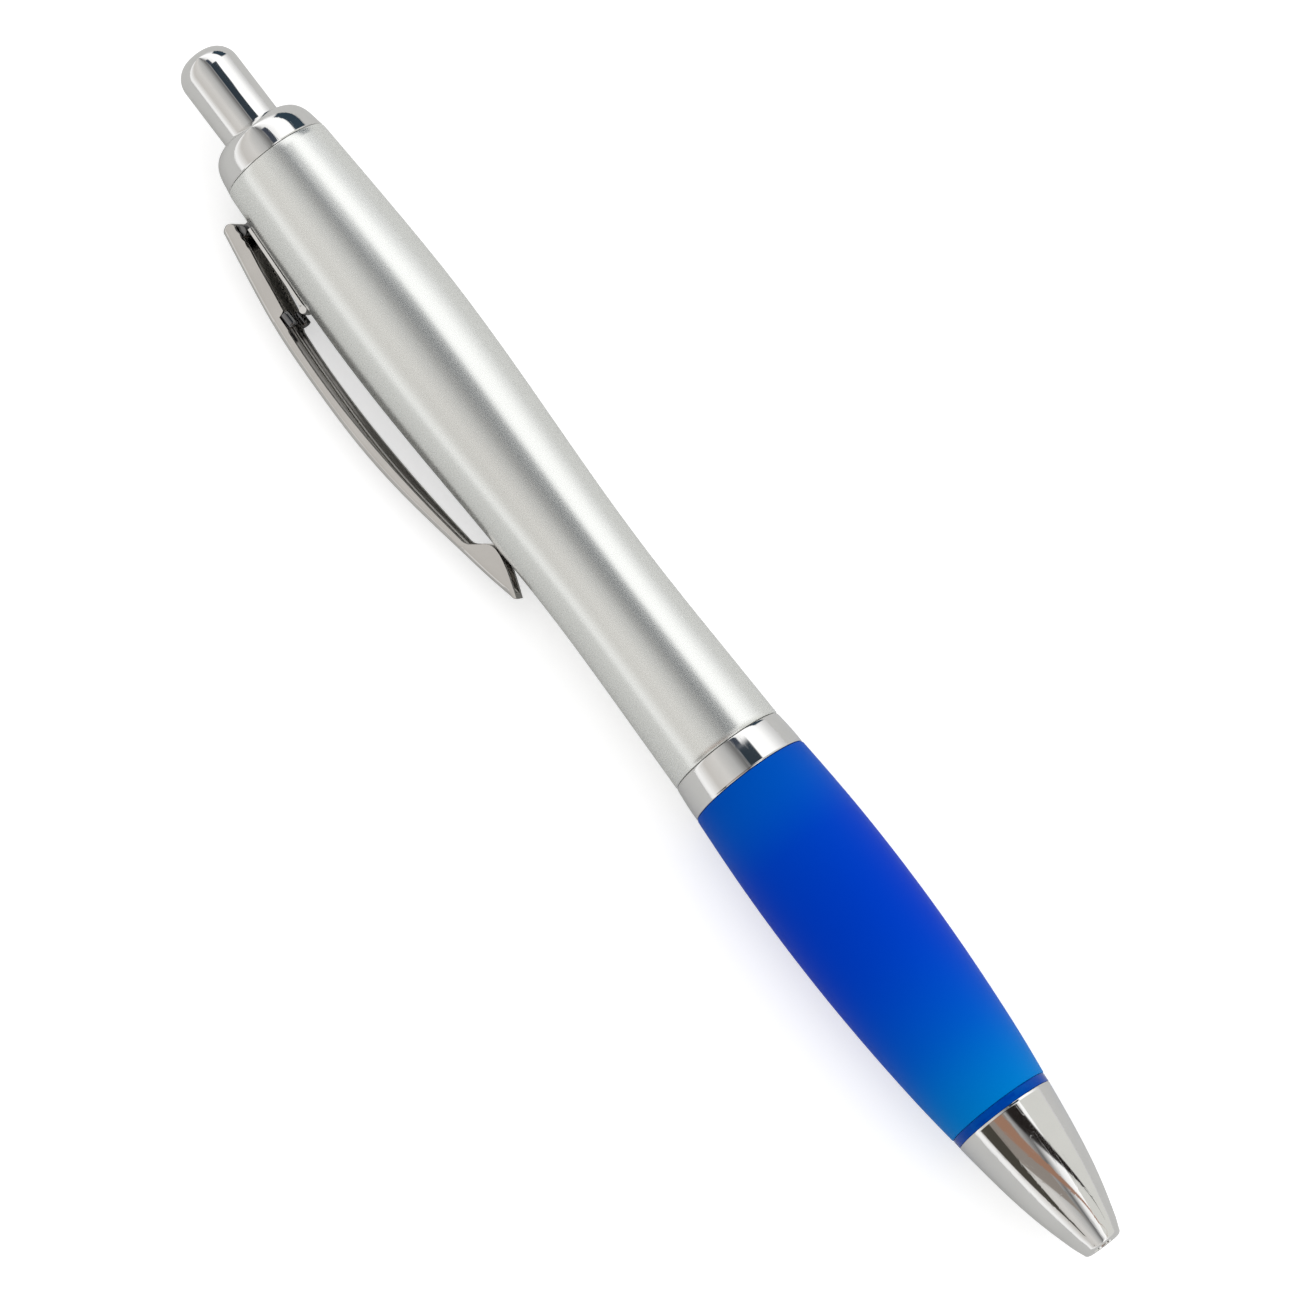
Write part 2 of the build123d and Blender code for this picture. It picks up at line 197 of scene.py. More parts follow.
def newGroup(name, inputs, outputs):
    group = bpy.data.node_groups.new(name, "ShaderNodeTree")
    for label, kind, value in inputs:
        made = group.interface.new_socket(label, in_out="INPUT", socket_type=kind)
        made.default_value = value
    for label, kind in outputs:
        group.interface.new_socket(label, in_out="OUTPUT", socket_type=kind)
    start = group.nodes.new("NodeGroupInput")
    end = group.nodes.new("NodeGroupOutput")
    return group, start, end


def addNode(tree, kind, values=None, **settings):
    node = tree.nodes.new(kind)
    for key, value in settings.items():
        setattr(node, key, value)
    for key, value in (values or {}).items():
        node.inputs[key].default_value = value
    return node


def mathNode(tree, operation, first, second=None, clamp=False):
    node = addNode(tree, "ShaderNodeMath", operation=operation, use_clamp=clamp)
    for i, value in enumerate((first, second)):
        if value is None:
            continue
        if isinstance(value, (int, float)):
            node.inputs[i].default_value = value
        else:
            tree.links.new(value, node.inputs[i])
    return node.outputs[0]


def makeFineGrain():
    # specks of a given size, as a height and as a light-to-dark mask
    group, start, end = newGroup(
        "fineGrain",
        [("Speck per metre", "NodeSocketFloat", 6000.0), ("Contrast", "NodeSocketFloat", 0.5)],
        [("Height", "NodeSocketFloat"), ("Mask", "NodeSocketFloat")],
    )
    place = addNode(group, "ShaderNodeTexCoord")
    noise = addNode(group, "ShaderNodeTexNoise", {"Detail": 3.0, "Roughness": 0.62})
    group.links.new(place.outputs["Object"], noise.inputs["Vector"])
    group.links.new(start.outputs["Speck per metre"], noise.inputs["Scale"])
    centred = mathNode(group, "SUBTRACT", noise.outputs["Fac"], 0.5)
    scaled = mathNode(group, "MULTIPLY", centred, start.outputs["Contrast"])
    mask = mathNode(group, "ADD", mathNode(group, "MULTIPLY", scaled, 2.0), 0.5, clamp=True)
    group.links.new(noise.outputs["Fac"], end.inputs["Height"])
    group.links.new(mask, end.inputs["Mask"])
    return group


def makeHandling():
    # faint smudges from fingers, with a few long hairline scratches
    group, start, end = newGroup(
        "handlingMarks",
        [("Smudge size", "NodeSocketFloat", 220.0), ("Scratch size", "NodeSocketFloat", 1500.0)],
        [("Smudge", "NodeSocketFloat"), ("Scratch", "NodeSocketFloat")],
    )
    place = addNode(group, "ShaderNodeTexCoord")
    smudge = addNode(group, "ShaderNodeTexNoise", {"Detail": 5.0, "Roughness": 0.55, "Distortion": 0.6})
    group.links.new(place.outputs["Object"], smudge.inputs["Vector"])
    group.links.new(start.outputs["Smudge size"], smudge.inputs["Scale"])
    stretch = addNode(group, "ShaderNodeMapping", {"Scale": (0.06, 1.0, 1.0), "Rotation": (0.3, 0.2, 0.35)})
    group.links.new(place.outputs["Object"], stretch.inputs["Vector"])
    hair = addNode(group, "ShaderNodeTexNoise", {"Detail": 2.0, "Roughness": 0.4})
    group.links.new(stretch.outputs["Vector"], hair.inputs["Vector"])
    group.links.new(start.outputs["Scratch size"], hair.inputs["Scale"])
    thin = mathNode(group, "ABSOLUTE", mathNode(group, "SUBTRACT", hair.outputs["Fac"], 0.5))
    line = mathNode(group, "SUBTRACT", 1.0, mathNode(group, "MULTIPLY", thin, 60.0), clamp=True)
    group.links.new(smudge.outputs["Fac"], end.inputs["Smudge"])
    group.links.new(line, end.inputs["Scratch"])
    return group


fineGrain = makeFineGrain()
handlingMarks = makeHandling()


def placeGroup(tree, group, values):
    return addNode(tree, "ShaderNodeGroup", values, node_tree=group)


def newMaterial(name, values):
    material = bpy.data.materials.new(name)
    material.use_nodes = True
    tree = material.node_tree
    shader = tree.nodes["Principled BSDF"]
    for key, value in values.items():
        shader.inputs[key].default_value = value
    return material, tree, shader


def mixColour(tree, mask, first, second):
    node = addNode(tree, "ShaderNodeMix", data_type="RGBA")
    node.inputs["A"].default_value = first
    node.inputs["B"].default_value = second
    tree.links.new(mask, node.inputs["Factor"])
    return node.outputs["Result"]


def spread(tree, mask, low, high):
    node = addNode(tree, "ShaderNodeMapRange", {"To Min": low, "To Max": high})
    tree.links.new(mask, node.inputs["Value"])
    return node.outputs["Result"]


def roughen(tree, shader, height, strength, distance):
    bump = addNode(tree, "ShaderNodeBump", {"Strength": strength, "Distance": distance})
    tree.links.new(height, bump.inputs["Height"])
    tree.links.new(bump.outputs["Normal"], shader.inputs["Normal"])


# ---- materials

chromeLook = {"light": (0.86, 0.855, 0.845, 1), "dark": (0.77, 0.768, 0.76, 1), "shine": (0.03, 0.09)}
silverLook = {
    "light": (0.93, 0.94, 0.915, 1), "dark": (0.79, 0.80, 0.78, 1), "shine": (0.23, 0.31), "flake": 9000.0,
}
# a darker, warmer copy of the mirror chrome for the clip arm: painted shade, dimming what its faces reflect
clipPaintedShadeLook = {"light": (0.74, 0.725, 0.705, 1), "dark": (0.60, 0.585, 0.565, 1), "shine": (0.05, 0.12)}
# a dark copy of the mirror chrome: painted shade for the rolled ears and the clip foot's tongue and fold
paintedShadeLook = {"light": (0.26, 0.26, 0.265, 1), "dark": (0.16, 0.16, 0.165, 1), "shine": (0.08, 0.16)}


def makeChrome(name, look):
    material, tree, shader = newMaterial(name, {"Metallic": 1.0})
    marks = placeGroup(tree, handlingMarks, {"Smudge size": 260.0, "Scratch size": 1400.0})
    tree.links.new(
        mixColour(tree, marks.outputs["Smudge"], look["dark"], look["light"]),
        shader.inputs["Base Color"],
    )
    tree.links.new(spread(tree, marks.outputs["Smudge"], *look["shine"]), shader.inputs["Roughness"])
    roughen(tree, shader, marks.outputs["Scratch"], 0.05, 0.00002)
    return material


def makeSilver():
    lacquer = {"Metallic": 0.82, "Coat Weight": 0.08, "Coat Roughness": 0.25}
    material, tree, shader = newMaterial("satinSilver", lacquer)
    grain = placeGroup(tree, fineGrain, {"Speck per metre": silverLook["flake"], "Contrast": 0.8})
    tree.links.new(
        mixColour(tree, grain.outputs["Mask"], silverLook["dark"], silverLook["light"]),
        shader.inputs["Base Color"],
    )
    tree.links.new(spread(tree, grain.outputs["Mask"], *silverLook["shine"]), shader.inputs["Roughness"])
    roughen(tree, shader, grain.outputs["Height"], 0.08, 0.00002)
    return material


def makeFrostedBlue(name, stops, roughness):
    # painted light: the colour runs along the sleeve, lighter at both ends, for the light that gathers in the
    # thicker ends
    frosted = {"IOR": 1.25, "Specular IOR Level": 0.2, "Specular Tint": (0.0, 0.80, 1.0, 1)}
    material, tree, shader = newMaterial(name, frosted)
    place = addNode(tree, "ShaderNodeTexCoord")
    split = addNode(tree, "ShaderNodeSeparateXYZ")
    tree.links.new(place.outputs["Object"], split.inputs["Vector"])
    ends = {"From Min": rearOf("grip_sleeve"), "From Max": frontOf("grip_sleeve")}
    run = addNode(tree, "ShaderNodeMapRange", ends)
    tree.links.new(split.outputs["X"], run.inputs["Value"])
    ramp = addNode(tree, "ShaderNodeValToRGB")
    ramp.color_ramp.interpolation = "B_SPLINE"
    marks = ramp.color_ramp.elements
    marks[0].position, marks[0].color = stops[0]
    marks[1].position, marks[1].color = stops[-1]
    for position, colour in stops[1:-1]:
        marks.new(position).color = colour
    tree.links.new(run.outputs["Result"], ramp.inputs["Fac"])
    tree.links.new(ramp.outputs["Color"], shader.inputs["Base Color"])
    grain = placeGroup(tree, fineGrain, {"Speck per metre": 9000.0, "Contrast": 0.8})
    shine = spread(tree, grain.outputs["Mask"], roughness - 0.05, roughness + 0.05)
    tree.links.new(shine, shader.inputs["Roughness"])
    roughen(tree, shader, grain.outputs["Height"], 0.2, 0.00002)
    return material


def makePlain(name, light, dark, shine, values=None):
    material, tree, shader = newMaterial(name, values or {})
    grain = placeGroup(tree, fineGrain, {"Speck per metre": 3000.0, "Contrast": 0.7})
    tree.links.new(mixColour(tree, grain.outputs["Mask"], dark, light), shader.inputs["Base Color"])
    tree.links.new(spread(tree, grain.outputs["Mask"], *shine), shader.inputs["Roughness"])
    roughen(tree, shader, grain.outputs["Height"], 0.1, 0.00002)
    return material


# painted light along the sleeve: lighter ends, brightest and greenest at the nose, darker middle
sleeveStops = [
    (0.0, (0.0, 0.068, 0.44, 1)),
    (0.10, (0.0, 0.078, 0.48, 1)),
    (0.22, (0.0, 0.038, 0.48, 1)),
    (0.55, (0.0, 0.034, 0.50, 1)),
    (0.80, (0.0, 0.075, 0.52, 1)),
    (1.0, (0.0, 0.20, 0.56, 1)),
]
chrome = makeChrome("mirrorChrome", chromeLook)
# painted shade: the darker chrome copy for the clip arm
clipPaintedShadeChrome = makeChrome("clipPaintedShadeChrome", clipPaintedShadeLook)
# painted shade: the dark chrome copy
paintedShadeChrome = makeChrome("paintedShadeChrome", paintedShadeLook)
silver = makeSilver()
frostedBlue = makeFrostedBlue("frostedBlue", sleeveStops, 0.42)
blueShine = {"IOR": 1.40, "Specular Tint": (0.0, 0.7, 1.0, 1)}
metal = {"Metallic": 1.0}
clearBlue = makePlain("clearBlue", (0.0, 0.050, 0.36, 1), (0.0, 0.036, 0.30, 1), (0.08, 0.14), blueShine)
springSteel = makePlain("springSteel", (0.62, 0.62, 0.63, 1), (0.45, 0.45, 0.46, 1), (0.18, 0.3), metal)
whitePlastic = makePlain("whitePlastic", (0.82, 0.82, 0.80, 1), (0.74, 0.74, 0.72, 1), (0.35, 0.45))
blackPlastic = makePlain("blackPlastic", (0.025, 0.025, 0.028, 1), (0.015, 0.015, 0.017, 1), (0.3, 0.4))
naturalPlastic = makePlain("naturalPlastic", (0.78, 0.80, 0.79, 1), (0.70, 0.72, 0.71, 1), (0.2, 0.3))
inkBlue = makePlain("inkBlue", (0.005, 0.02, 0.22, 1), (0.003, 0.012, 0.16, 1), (0.1, 0.2))
turnedBrass = makePlain("turnedBrass", (0.80, 0.60, 0.28, 1), (0.68, 0.50, 0.22, 1), (0.15, 0.28), metal)
turnedSteel = makePlain("turnedSteel", (0.70, 0.68, 0.64, 1), (0.58, 0.57, 0.54, 1), (0.12, 0.22), metal)
print("materials made")

# ---- push button

button = {"radius": 3.0, "corner": 2.2, "crown": 0.12, "exposed": 8.95, "step": 0.2, "wall": 0.8}


def makeButton():
    rear = rearOf("push_button")
    r = button["radius"] * mm
    corner = button["corner"] * mm
    crown = button["crown"] * mm
    flat = r - corner
    profile = [(rear, 0.0)]
    for k in range(1, 6):
        share = k / 5
        profile.append((rear + crown * share**2, flat * share))
    for k in range(1, 17):
        turn = math.pi / 2 * k / 16
        profile.append((rear + crown + corner * (1 - math.cos(turn)), flat + corner * math.sin(turn)))
    shoulder = rear + button["exposed"] * mm
    end = frontOf("push_button")
    skirt = r - button["step"] * mm
    inner = r - button["wall"] * mm
    profile += [(shoulder, r), (shoulder + 0.1 * mm, skirt), (end, skirt), (end, inner)]
    profile += [(rear + corner, inner), (rear + corner, 0.0)]
    piece = turnedPiece("pushButtonCap", profile, sides=128, closed=False)
    placePiece(piece, "button", chrome, "mirror_chrome", "push_button")


makeButton()
print("button made")

# ---- top collar

collar = {
    "outline": [(0, 3.40), (0.45, 4.33), (1.5, 5.04), (2.75, 5.31), (3.6, 5.45)],
    "mouth": 3.07, "foot": 5.45, "skirt": 4.3, "bore": 3.75,
    "mouthRound": [(0.12, 0.0), (0.03, 0.07), (0.0, 0.16)],
    "seamRound": [(0.14, 0.01), (0.04, 0.08), (0.0, 0.20)],
}


def arcThrough(a, b, c, count):
    # the arc that passes through three profile points
    a, b, c = Vector(a), Vector(b), Vector(c)
    d = 2 * (a.x * (b.y - c.y) + b.x * (c.y - a.y) + c.x * (a.y - b.y))
    sa, sb, sc = a.length_squared, b.length_squared, c.length_squared
    centre = Vector((
        (sa * (b.y - c.y) + sb * (c.y - a.y) + sc * (a.y - b.y)) / d,
        (sa * (c.x - b.x) + sb * (a.x - c.x) + sc * (b.x - a.x)) / d,
    ))
    radius = (a - centre).length
    start = math.atan2(a.y - centre.y, a.x - centre.x)
    turn = (math.atan2(c.y - centre.y, c.x - centre.x) - start + math.pi) % (2 * math.pi) - math.pi
    angles = [start + turn * k / count for k in range(count + 1)]
    return [(centre.x + radius * math.cos(angle), centre.y + radius * math.sin(angle)) for angle in angles]


def makeCollar():
    rear, end = rearOf("top_collar"), frontOf("top_collar")
    seam = rearOf("barrel")
    mouth, foot, skirt, bore = (collar[k] * mm for k in ("mouth", "foot", "skirt", "bore"))
    outside = smoothPath([(rear + x * mm, r * mm) for x, r in collar["outline"]], 30)
    shoulder = frontOf("push_button")
    profile = [(rear + x * mm, mouth + r * mm) for x, r in collar["mouthRound"]]
    profile += outside[:-1]
    profile += [(seam - x * mm, foot - r * mm) for x, r in collar["seamRound"]]
    profile += [(seam, skirt), (end, skirt)]
    profile += [(end, bore), (shoulder, bore), (shoulder, mouth)]
    placePiece(turnedPiece("topCollarRing", profile), "upper_body", chrome, "mirror_chrome", "top_collar")


makeCollar()
print("collar made")

# ---- barrel

barrel = {
    "outline": [
        (0, 5.50), (10, 6.00), (18.85, 6.28), (31.35, 6.02), (44, 5.48), (52.35, 5.36), (62.35, 5.58),
        (70.2, 5.80),
    ],
    "bore": 4.3,
    "threadBore": 4.35,
    "ringBore": 4.75,
    "threadStart": 63.15,
    "threadEnd": 69.05,
    "pitch": 1.0,
    "depth": 0.37,
    "threadHalfWidth": 0.40,
    "flank": 0.20,
    "edge": 0.19,
    "slot": {"from": -55.0, "to": -53.2, "halfWidth": 1.65, "reach": (3.9, 7.5)},
}


def threadWave(x, angle, pitch, halfWidth):
    # 0 in the valleys and 1 along the crest of a right-handed thread, x counted from the spigot's end
    phase = (x / pitch - angle / (2 * math.pi)) % 1.0
    away = min(phase, 1 - phase)
    return min(max((halfWidth - away) / barrel["flank"], 0.0), 1.0)


def makeBarrel():
    rear, front = rearOf("barrel"), frontOf("barrel")
    outline = [(rear + x * mm, r * mm) for x, r in barrel["outline"]]
    edge = barrel["edge"] * mm
    outside = smoothCurve(outline, 90)
    threadStart = rear + barrel["threadStart"] * mm
    threadEnd = rear + barrel["threadEnd"] * mm
    profile = rearEdge(rear, outside[0][1], edge) + outside[1:-1] + frontEdge(front, outside[-1][1], edge)
    profile += [(front, barrel["ringBore"] * mm + 0.3 * mm)]
    profile += [(front - 0.3 * mm, barrel["ringBore"] * mm), (threadEnd, barrel["ringBore"] * mm)]
    steps = 72
    for k in range(steps + 1):
        profile.append((threadEnd + (threadStart - threadEnd) * k / steps, barrel["threadBore"] * mm))
    profile += [(threadStart, barrel["bore"] * mm), (rear, barrel["bore"] * mm)]

    threadZero = rearOf("front_core")

    def innerThread(x, r, angle):
        if abs(r - barrel["threadBore"] * mm) > 1e-6:
            return 0
        wave = threadWave(x - threadZero, angle, barrel["pitch"] * mm, barrel["threadHalfWidth"])
        return barrel["depth"] * mm * wave

    piece = turnedPiece("barrelShell", profile, sides=160, wobble=innerThread)
    cutFootSlot(piece)
    placePiece(piece, "upper_body", silver, "satin_silver", "barrel")


def cutFootSlot(piece):
    # the slot the clip's foot stands in
    slot = barrel["slot"]
    bm = bmesh.new()
    for x in (slot["from"] * mm, slot["to"] * mm):
        for side in (-slot["halfWidth"] * mm, slot["halfWidth"] * mm):
            for out in slot["reach"]:
                bm.verts.new(penPoint(x, side, out * mm))
    bmesh.ops.convex_hull(bm, input=bm.verts)
    cutter = finishMesh(bm, "slotCutter")
    cut = piece.modifiers.new("footSlot", "BOOLEAN")
    cut.object = cutter
    cut.solver = "EXACT"
    shaped = bpy.data.meshes.new_from_object(piece.evaluated_get(bpy.context.evaluated_depsgraph_get()))
    piece.modifiers.clear()
    piece.data = shaped
    bpy.data.objects.remove(cutter)


makeBarrel()
print("barrel made")

# ---- clip

clip = {
    "outside": [
        (0.55, 7.95), (5.15, 8.75), (10.8, 9.57), (17.3, 9.93), (22.3, 10.02), (28.3, 9.76), (34.0, 9.07),
        (37.9, 8.47), (41.9, 7.83), (44.15, 7.36),
    ],
    "headEdge": [
        (0, 7.05), (0.15, 6.7), (0.6, 6.5), (2.9, 6.64), (5.2, 7.04), (7.9, 7.42), (9.7, 7.7), (9.9, 7.74),
        (9.98, 8.38), (11.45, 8.45),
    ],
    "longEdge": [(11.7, 8.56), (12.4, 8.62), (20.8, 8.9), (28.3, 8.58), (34.1, 8.05), (37.3, 7.67)],
    "beakEdge": [
        (37.6, 7.58), (37.9, 7.36), (38.95, 6.03), (39.2, 5.8), (39.5, 5.66), (39.9, 5.6), (40.5, 5.63),
        (41.2, 5.76), (42.1, 6.02), (43.0, 6.34), (43.85, 6.64), (44.25, 6.8), (44.65, 6.95),
    ],
    "length": 44.65,
    "headRound": (0.55, 7.3, 0.65),  # how far it reaches along, where it starts and how much it rises
    "tipRound": (0.5, 6.98, 0.38),
    "halfWidth": 2.25,
    "tipHalfWidth": 0.95,
    "taperStart": 17.3,
    "taperSlope": 0.06,
    "corner": 0.5,
    "crown": 0.10,
    "gauge": 0.45,
    "scallop": {"from": 0.6, "to": 3.3, "height": 0.10, "count": 3},
    "spacing": 0.12,
    "ear": {"from": 9.95, "to": 11.45, "radius": 0.52, "height": 7.9, "side": 1.72, "rounding": 0.12},
}


def straightBetween(points, x):
    for (x0, y0), (x1, y1) in zip(points, points[1:]):
        if x <= x1:
            return y0 + (y1 - y0) * max(0.0, (x - x0) / (x1 - x0))
    return points[-1][1]


def clipTop(x, curve, length):
    # the folded head and the pressed tip both round over
    reach, low, rise = clip["headRound"]
    if x < reach:
        return low + rise * math.sqrt(max(0.0, 1 - (1 - x / reach) ** 2))
    reach, low, rise = clip["tipRound"]
    if x > length - reach:
        return low + rise * math.sqrt(max(0.0, 1 - ((x - length + reach) / reach) ** 2))
    return straightBetween(curve, x)


def clipHalfWidth(x):
    # parallel sides, then a cubic that narrows to the beak
    start, length = clip["taperStart"], clip["length"] - clip["taperStart"]
    wide, thin = clip["halfWidth"], clip["tipHalfWidth"]
    if x <= start:
        return wide - 0.25 * max(0.0, 1 - x / 0.35) ** 2
    t = (x - start) / length
    slope = -clip["taperSlope"] * length
    return wide * (2 * t**3 - 3 * t**2 + 1) + thin * (3 * t**2 - 2 * t**3) + slope * (t**3 - t**2)


def clipSection(half, top, bottom, corner, crown):
    # from one wall's lower edge, over the face, to the other wall's lower edge
    corner = min(corner, half * 0.6, (top - bottom) * 0.55)
    side = [(half, bottom + (top - corner - bottom) * k / 3) for k in range(4)]
    for k in range(1, 7):
        turn = math.pi / 2 * k / 6
        side.append((half - corner * (1 - math.cos(turn)), top - corner * (1 - math.sin(turn))))
    face = [((half - corner) * (1 - k / 3), top) for k in range(1, 4)]
    right = side + face
    path = [(-s, o) for s, o in right] + [(s, o) for s, o in reversed(right[:-1])]
    return [(s, o - crown * (s / half) ** 2 if o > bottom + 0.6 * (top - bottom) else o) for s, o in path]


def makeRolledEar(name, rear, side):
    # each wall carries an ear curled in towards the barrel, its chrome darkened as painted shade
    bm = bmesh.new()
    ear = clip["ear"]
    first, last, radius = ear["from"], ear["to"], ear["radius"]
    rounding = ear["rounding"]
    sections = [(first, 0.0), (first, radius - rounding)]
    sections += [(first + rounding * 0.3, radius - rounding * 0.3), (first + rounding, radius)]
    sections += [(first + rounding + 0.25 * k, radius) for k in range(1, 5)]
    sections += [(last - rounding, radius), (last - rounding * 0.3, radius - rounding * 0.3)]
    sections += [(last, radius - rounding), (last, 0.0)]
    rings = []
    for x, r in sections:
        loop = []
        for k in range(32 if r > 0 else 1):
            turn = 2 * math.pi * k / 32
            place = (side * ear["side"] + r * math.sin(turn), ear["height"] + r * math.cos(turn))
            loop.append(bm.verts.new(penPoint(rear + x * mm, place[0] * mm, place[1] * mm)))
        rings.append(loop)
    for a, b in zip(rings, rings[1:]):
        joinRings(bm, a, b)
    # painted shade: the ears take the dark chrome copy
    placePiece(finishMesh(bm, name), "clip", paintedShadeChrome, "mirror_chrome")


def makeClipArm():
    rear = rearOf("clip_arm")
    length = (frontOf("clip_arm") - rear) / mm
    curve = smoothCurve(clip["outside"], 400)
    lowerEdge = clip["headEdge"] + smoothCurve(clip["longEdge"], 120) + clip["beakEdge"]
    gauge, scallop = clip["gauge"], clip["scallop"]
    stations = [0, 0.03, 0.09, 0.18, 0.3]
    x = gauge
    while x < length - gauge:
        stations.append(x)
        x += clip["spacing"]
    stations += [length - gauge, length - 0.3, length - 0.18, length - 0.08, length - 0.02, length]
    bm = bmesh.new()
    outer, inner = [], []
    for x in stations:
        top, bottom = clipTop(x, curve, length), straightBetween(lowerEdge, x)
        if scallop["from"] < x < scallop["to"]:
            share = (x - scallop["from"]) / (scallop["to"] - scallop["from"])
            bottom += scallop["height"] * abs(math.sin(share * scallop["count"] * math.pi))
        half = clipHalfWidth(x)
        place = rear + x * mm
        section = clipSection(half, top, bottom, clip["corner"], clip["crown"])
        outer.append([bm.verts.new(penPoint(place, s * mm, o * mm)) for s, o in section])
        if gauge <= x <= length - gauge:
            hollowTop = max(top - gauge, bottom + 0.05)
            section = clipSection(half - gauge, hollowTop, bottom, 0.2, 0)
            inner.append([bm.verts.new(penPoint(place, s * mm, o * mm)) for s, o in section])
    for rings in (outer, inner):
        for a, b in zip(rings, rings[1:]):
            for k in range(len(a) - 1):
                bm.faces.new((a[k], a[k + 1], b[k + 1], b[k]))
    first = stations.index(gauge)
    last = first + len(inner) - 1
    for k in range(len(inner) - 1):
        for end in (0, -1):
            bm.faces.new((outer[first + k][end], outer[first + k + 1][end], inner[k + 1][end], inner[k][end]))
    for rings, hollow in ((outer[: first + 1], inner[0]), (outer[last:][::-1], inner[-1])):
        bm.faces.new(rings[0])
        bm.faces.new(hollow)
        lefts = [ring[0] for ring in rings]
        rights = [ring[-1] for ring in rings]
        for a, b, c, d in zip(lefts, lefts[1:], rights[1:-1], rights[:-2]):
            bm.faces.new((a, b, c, d))
        bm.faces.new((lefts[-2], lefts[-1], hollow[0], hollow[-1], rights[-1], rights[-2]))
    piece = finishMesh(bm, "clipArm", 40)
    bevelEdges(piece, "rolledEdges", 0.07, 3, 45)
    # painted shade: the clip arm takes the darker chrome copy
    placePiece(piece, "clip", clipPaintedShadeChrome, "mirror_chrome", "clip_arm")
    makeRolledEar("clipNearEar", rear, 1)
    makeRolledEar("clipFarEar", rear, -1)


foot = {
    "halfWidth": 1.6, "stemHalfWidth": 0.9, "wrap": 5.9, "stem": 0.4, "bead": 0.6, "beadHeight": 6.55,
    "leg": (4.4, 5.0), "roll": 0.38, "strap": 0.32, "strapHeight": (5.75, 6.27),
}


def barPiece(name, outline, halfWidth, edge, wrap=None):
    # a strip of metal seen edge on as (x, out), flat across or wrapped round the barrel
    bm = bmesh.new()
    sides = []
    steps = 8 if wrap else 1
    for k in range(steps + 1):
        side = halfWidth * (2 * k / steps - 1)
        dip = wrap - math.sqrt(wrap**2 - side**2) if wrap else 0
        sides.append([bm.verts.new(penPoint(x * mm, side * mm, (out - dip) * mm)) for x, out in outline])
    for first, second in zip(sides, sides[1:]):
        joinRings(bm, first, second)
    for side in (sides[0], sides[-1]):
        bm.faces.new(side)
    piece = finishMesh(bm, name)
    bevelEdges(piece, "edges", edge, 2, 50)
    return piece


def makeClipFoot():
    joint = Vector(flexJoint["pos_m"])
    x = joint.x / mm
    low, high = foot["leg"]
    stem, bead, height = foot["stem"], foot["bead"], foot["beadHeight"]
    rear = rearOf("clip_foot") / mm
    tongue = [(rear, low), (x + stem - 0.3, low), (x + stem - 0.09, low + 0.09), (x + stem, low + 0.3)]
    tongue += [(x + stem, height), (x - stem, height), (x - stem, high), (rear, high)]
    piece = barPiece("clipFootTongue", tongue, foot["stemHalfWidth"], 0.06)
    # painted shade: the tongue takes the dark chrome copy
    placePiece(piece, "upper_body", paintedShadeChrome, "mirror_chrome")
    fold = circlePoints(x, height, bead, 32)
    piece = barPiece("clipFootFold", fold, foot["halfWidth"] - 0.1, 0.08)
    # painted shade: the fold takes the dark chrome copy too
    placePiece(piece, "upper_body", paintedShadeChrome, "mirror_chrome")
    end = frontOf("clip_foot") / mm - foot["roll"]
    thick, roll = foot["strap"], foot["roll"]
    rearHeight, frontHeight = foot["strapHeight"]
    slope = (frontHeight - rearHeight) / (end - x)
    centre = frontHeight + thick / 2 + 0.1
    strap = [(x + stem * 0.9, rearHeight + slope * stem), (end - 0.5, frontHeight - 0.5 * slope)]
    for k in range(21):
        turn = math.radians(-75) + math.radians(280) * k / 20
        strap.append((end + roll * math.cos(turn), centre + roll * math.sin(turn)))
    strap += [(end - 0.5, frontHeight + thick - 0.5 * slope)]
    strap += [(x + stem * 0.9, rearHeight + thick + slope * stem)]
    piece = barPiece("clipFootStrap", strap, foot["halfWidth"], 0.06, foot["wrap"])
    placePiece(piece, "upper_body", chrome, "mirror_chrome", "clip_foot")


makeClipArm()
makeClipFoot()
print("clip made")

# ---- front section

ring = {"rear": 5.79, "middle": 5.97, "front": 6.05, "bore": 4.75, "edge": 0.12}
sleeve = {
    "outline": [
        (0, 6.08), (6.65, 6.48), (14.15, 6.65), (21.9, 6.50), (30.15, 6.00), (34.3, 5.62), (37.8, 5.20),
    ],
    "wall": 1.1,
    "edge": 0.16,
}
core = {
    "bore": 2.7, "root": 4.2, "crest": 4.6, "spigot": 4.65, "lip": (5.15, 5.10), "nose": 4.3,
    "threadStart": 0.4, "threadEnd": 5.9, "threadStop": 0.2, "threadFade": 0.5, "threadHalfWidth": 0.30,
}
nose = {
    "outline": [(0, 5.10), (5.2, 4.39), (10.7, 3.26), (13.55, 2.43)],
    "end": [(0.75, 2.18), (0.4, 2.03), (0.1, 1.86)],  # counted back from the front face
    "rim": 1.62, "hole": 1.3, "holeLength": 1.4, "throat": 1.75, "throatStart": 3.2, "pocket": 2.6,
    "edge": 0.08,
}


def makeRing():
    rear, front = rearOf("centre_ring"), frontOf("centre_ring")
    edge, bore = ring["edge"] * mm, ring["bore"] * mm
    outside = arcThrough(
        (rear, ring["rear"] * mm), ((rear + front) / 2, ring["middle"] * mm), (front, ring["front"] * mm), 12
    )
    profile = rearEdge(rear, outside[0][1], edge, 0.01 * mm) + outside[1:-1]
    profile += frontEdge(front, outside[-1][1], edge)
    profile += [(front, bore + 0.1 * mm), (front - 0.1 * mm, bore)]
    profile += [(rear + 0.1 * mm, bore), (rear, bore + 0.1 * mm)]
    placePiece(turnedPiece("centreRing", profile), "ring", chrome, "mirror_chrome", "centre_ring")


